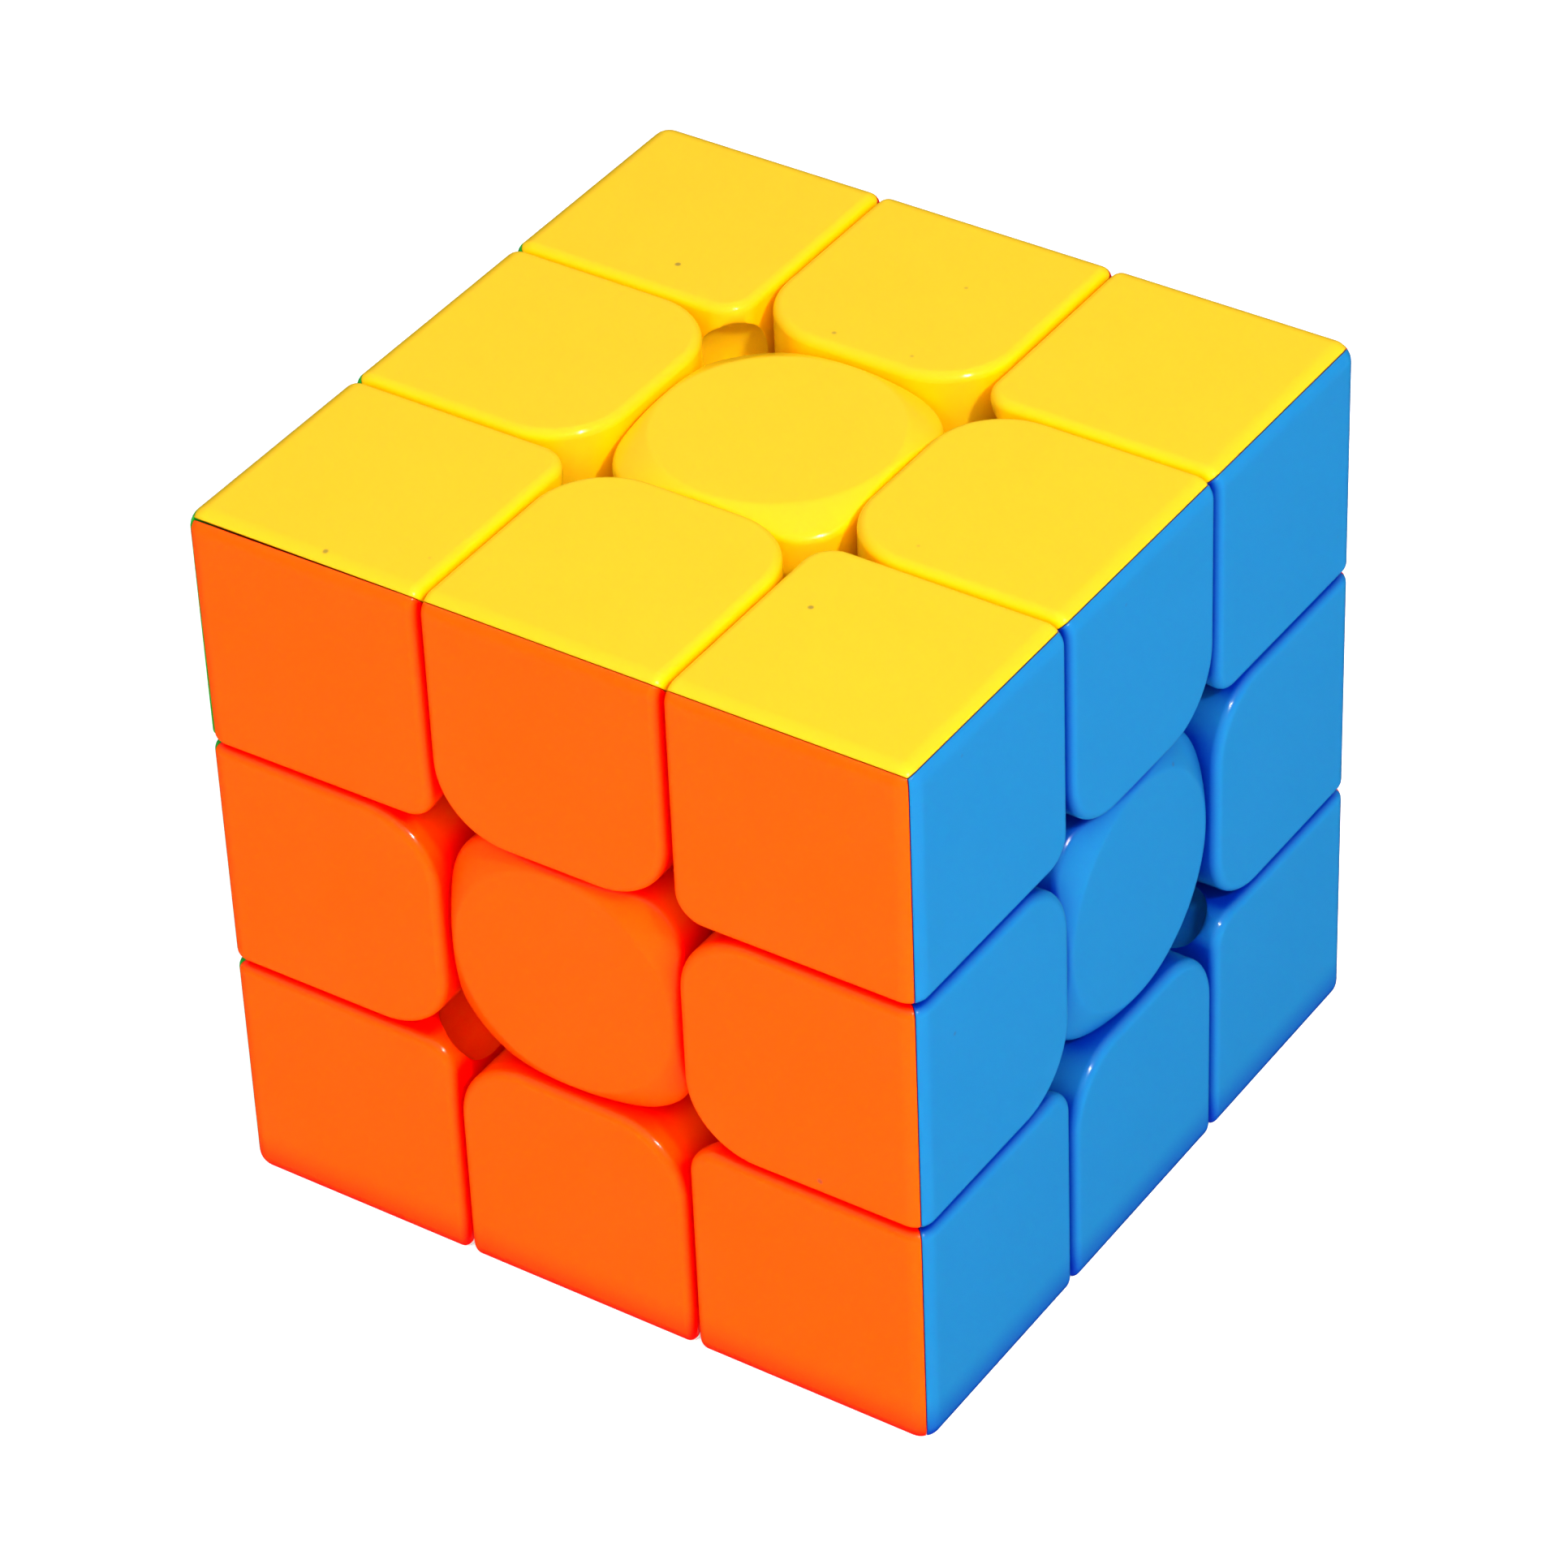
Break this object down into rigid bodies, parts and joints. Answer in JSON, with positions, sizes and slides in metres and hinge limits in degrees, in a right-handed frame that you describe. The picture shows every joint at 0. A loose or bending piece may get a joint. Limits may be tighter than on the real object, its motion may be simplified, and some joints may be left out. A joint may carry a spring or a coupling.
{
  "type": "twisty puzzle cube",
  "caption": "Three-layer twisty puzzle cube with six coloured faces, rounded tiles, sprung centres on a central core and layers that turn.",
  "frame": {"origin": "centre of the cube, where the six turning axes meet", "axes": "+Z out of the yellow top face, -Y out of the orange front face, +X out of the blue right face"},
  "size_m": [0.056, 0.056, 0.056],
  "materials": {
    "yellow_plastic": "satin moulded",
    "white_plastic": "satin moulded",
    "orange_plastic": "satin moulded",
    "red_plastic": "satin moulded",
    "green_plastic": "satin moulded",
    "blue_plastic": "satin moulded",
    "core_plastic": "fine matt moulded",
    "screw_steel": "zinc plated",
    "spring_steel": "bright drawn wire"
  },
  "bodies": {
    "core_and_middle": {"core": "core_plastic", "screw_top": "screw_steel", "screw_bottom": "screw_steel", "screw_front": "screw_steel", "screw_back": "screw_steel", "screw_left": "screw_steel", "screw_right": "screw_steel", "edge_front_left_orange": "orange_plastic", "edge_front_left_green": "green_plastic", "edge_front_right_orange": "orange_plastic", "edge_front_right_blue": "blue_plastic", "edge_back_left_red": "red_plastic", "edge_back_left_green": "green_plastic", "edge_back_right_red": "red_plastic", "edge_back_right_blue": "blue_plastic"},
    "top_spring": {"spring_top": "spring_steel"},
    "top_layer": {"hub_top": "yellow_plastic", "cap_top": "yellow_plastic", "edge_top_front_yellow": "yellow_plastic", "edge_top_front_orange": "orange_plastic", "edge_top_back_yellow": "yellow_plastic", "edge_top_back_red": "red_plastic", "edge_top_left_yellow": "yellow_plastic", "edge_top_left_green": "green_plastic", "edge_top_right_yellow": "yellow_plastic", "edge_top_right_blue": "blue_plastic", "corner_top_front_left": "yellow_plastic", "corner_top_front_right": "yellow_plastic", "corner_top_back_left": "yellow_plastic", "corner_top_back_right": "yellow_plastic"},
    "bottom_spring": {"spring_bottom": "spring_steel"},
    "bottom_layer": {"hub_bottom": "white_plastic", "cap_bottom": "white_plastic", "edge_bottom_front_white": "white_plastic", "edge_bottom_front_orange": "orange_plastic", "edge_bottom_back_white": "white_plastic", "edge_bottom_back_red": "red_plastic", "edge_bottom_left_white": "white_plastic", "edge_bottom_left_green": "green_plastic", "edge_bottom_right_white": "white_plastic", "edge_bottom_right_blue": "blue_plastic", "corner_bottom_front_left": "white_plastic", "corner_bottom_front_right": "white_plastic", "corner_bottom_back_left": "white_plastic", "corner_bottom_back_right": "white_plastic"},
    "front_spring": {"spring_front": "spring_steel"},
    "front_centre": {"hub_front": "orange_plastic", "cap_front": "orange_plastic"},
    "back_spring": {"spring_back": "spring_steel"},
    "back_centre": {"hub_back": "red_plastic", "cap_back": "red_plastic"},
    "left_spring": {"spring_left": "spring_steel"},
    "left_centre": {"hub_left": "green_plastic", "cap_left": "green_plastic"},
    "right_spring": {"spring_right": "spring_steel"},
    "right_centre": {"hub_right": "blue_plastic", "cap_right": "blue_plastic"}
  },
  "joints": [
    {"name": "top_float", "type": "slide", "parent": "core_and_middle", "child": "top_spring", "axis": [0, 0, 1], "range_m": [0, 0.0005], "stiffness_N_per_m": 400, "springref_m": -0.002, "deforming": ["spring_top"]},
    {"name": "top_turn", "type": "hinge", "parent": "top_spring", "child": "top_layer", "pos_m": [0, 0, 0], "axis": [0, 0, 1], "continuous": true},
    {"name": "bottom_float", "type": "slide", "parent": "core_and_middle", "child": "bottom_spring", "axis": [0, 0, -1], "range_m": [0, 0.0005], "stiffness_N_per_m": 400, "springref_m": -0.002, "deforming": ["spring_bottom"]},
    {"name": "bottom_turn", "type": "hinge", "parent": "bottom_spring", "child": "bottom_layer", "pos_m": [0, 0, 0], "axis": [0, 0, -1], "continuous": true},
    {"name": "front_float", "type": "slide", "parent": "core_and_middle", "child": "front_spring", "axis": [0, -1, 0], "range_m": [0, 0.0005], "stiffness_N_per_m": 400, "springref_m": -0.002, "deforming": ["spring_front"]},
    {"name": "front_turn", "type": "hinge", "parent": "front_spring", "child": "front_centre", "pos_m": [0, 0, 0], "axis": [0, -1, 0], "range_deg": [-4, 4]},
    {"name": "back_float", "type": "slide", "parent": "core_and_middle", "child": "back_spring", "axis": [0, 1, 0], "range_m": [0, 0.0005], "stiffness_N_per_m": 400, "springref_m": -0.002, "deforming": ["spring_back"]},
    {"name": "back_turn", "type": "hinge", "parent": "back_spring", "child": "back_centre", "pos_m": [0, 0, 0], "axis": [0, 1, 0], "range_deg": [-4, 4]},
    {"name": "left_float", "type": "slide", "parent": "core_and_middle", "child": "left_spring", "axis": [-1, 0, 0], "range_m": [0, 0.0005], "stiffness_N_per_m": 400, "springref_m": -0.002, "deforming": ["spring_left"]},
    {"name": "left_turn", "type": "hinge", "parent": "left_spring", "child": "left_centre", "pos_m": [0, 0, 0], "axis": [-1, 0, 0], "range_deg": [-4, 4]},
    {"name": "right_float", "type": "slide", "parent": "core_and_middle", "child": "right_spring", "axis": [1, 0, 0], "range_m": [0, 0.0005], "stiffness_N_per_m": 400, "springref_m": -0.002, "deforming": ["spring_right"]},
    {"name": "right_turn", "type": "hinge", "parent": "right_spring", "child": "right_centre", "pos_m": [0, 0, 0], "axis": [1, 0, 0], "range_deg": [-4, 4]}
  ]
}
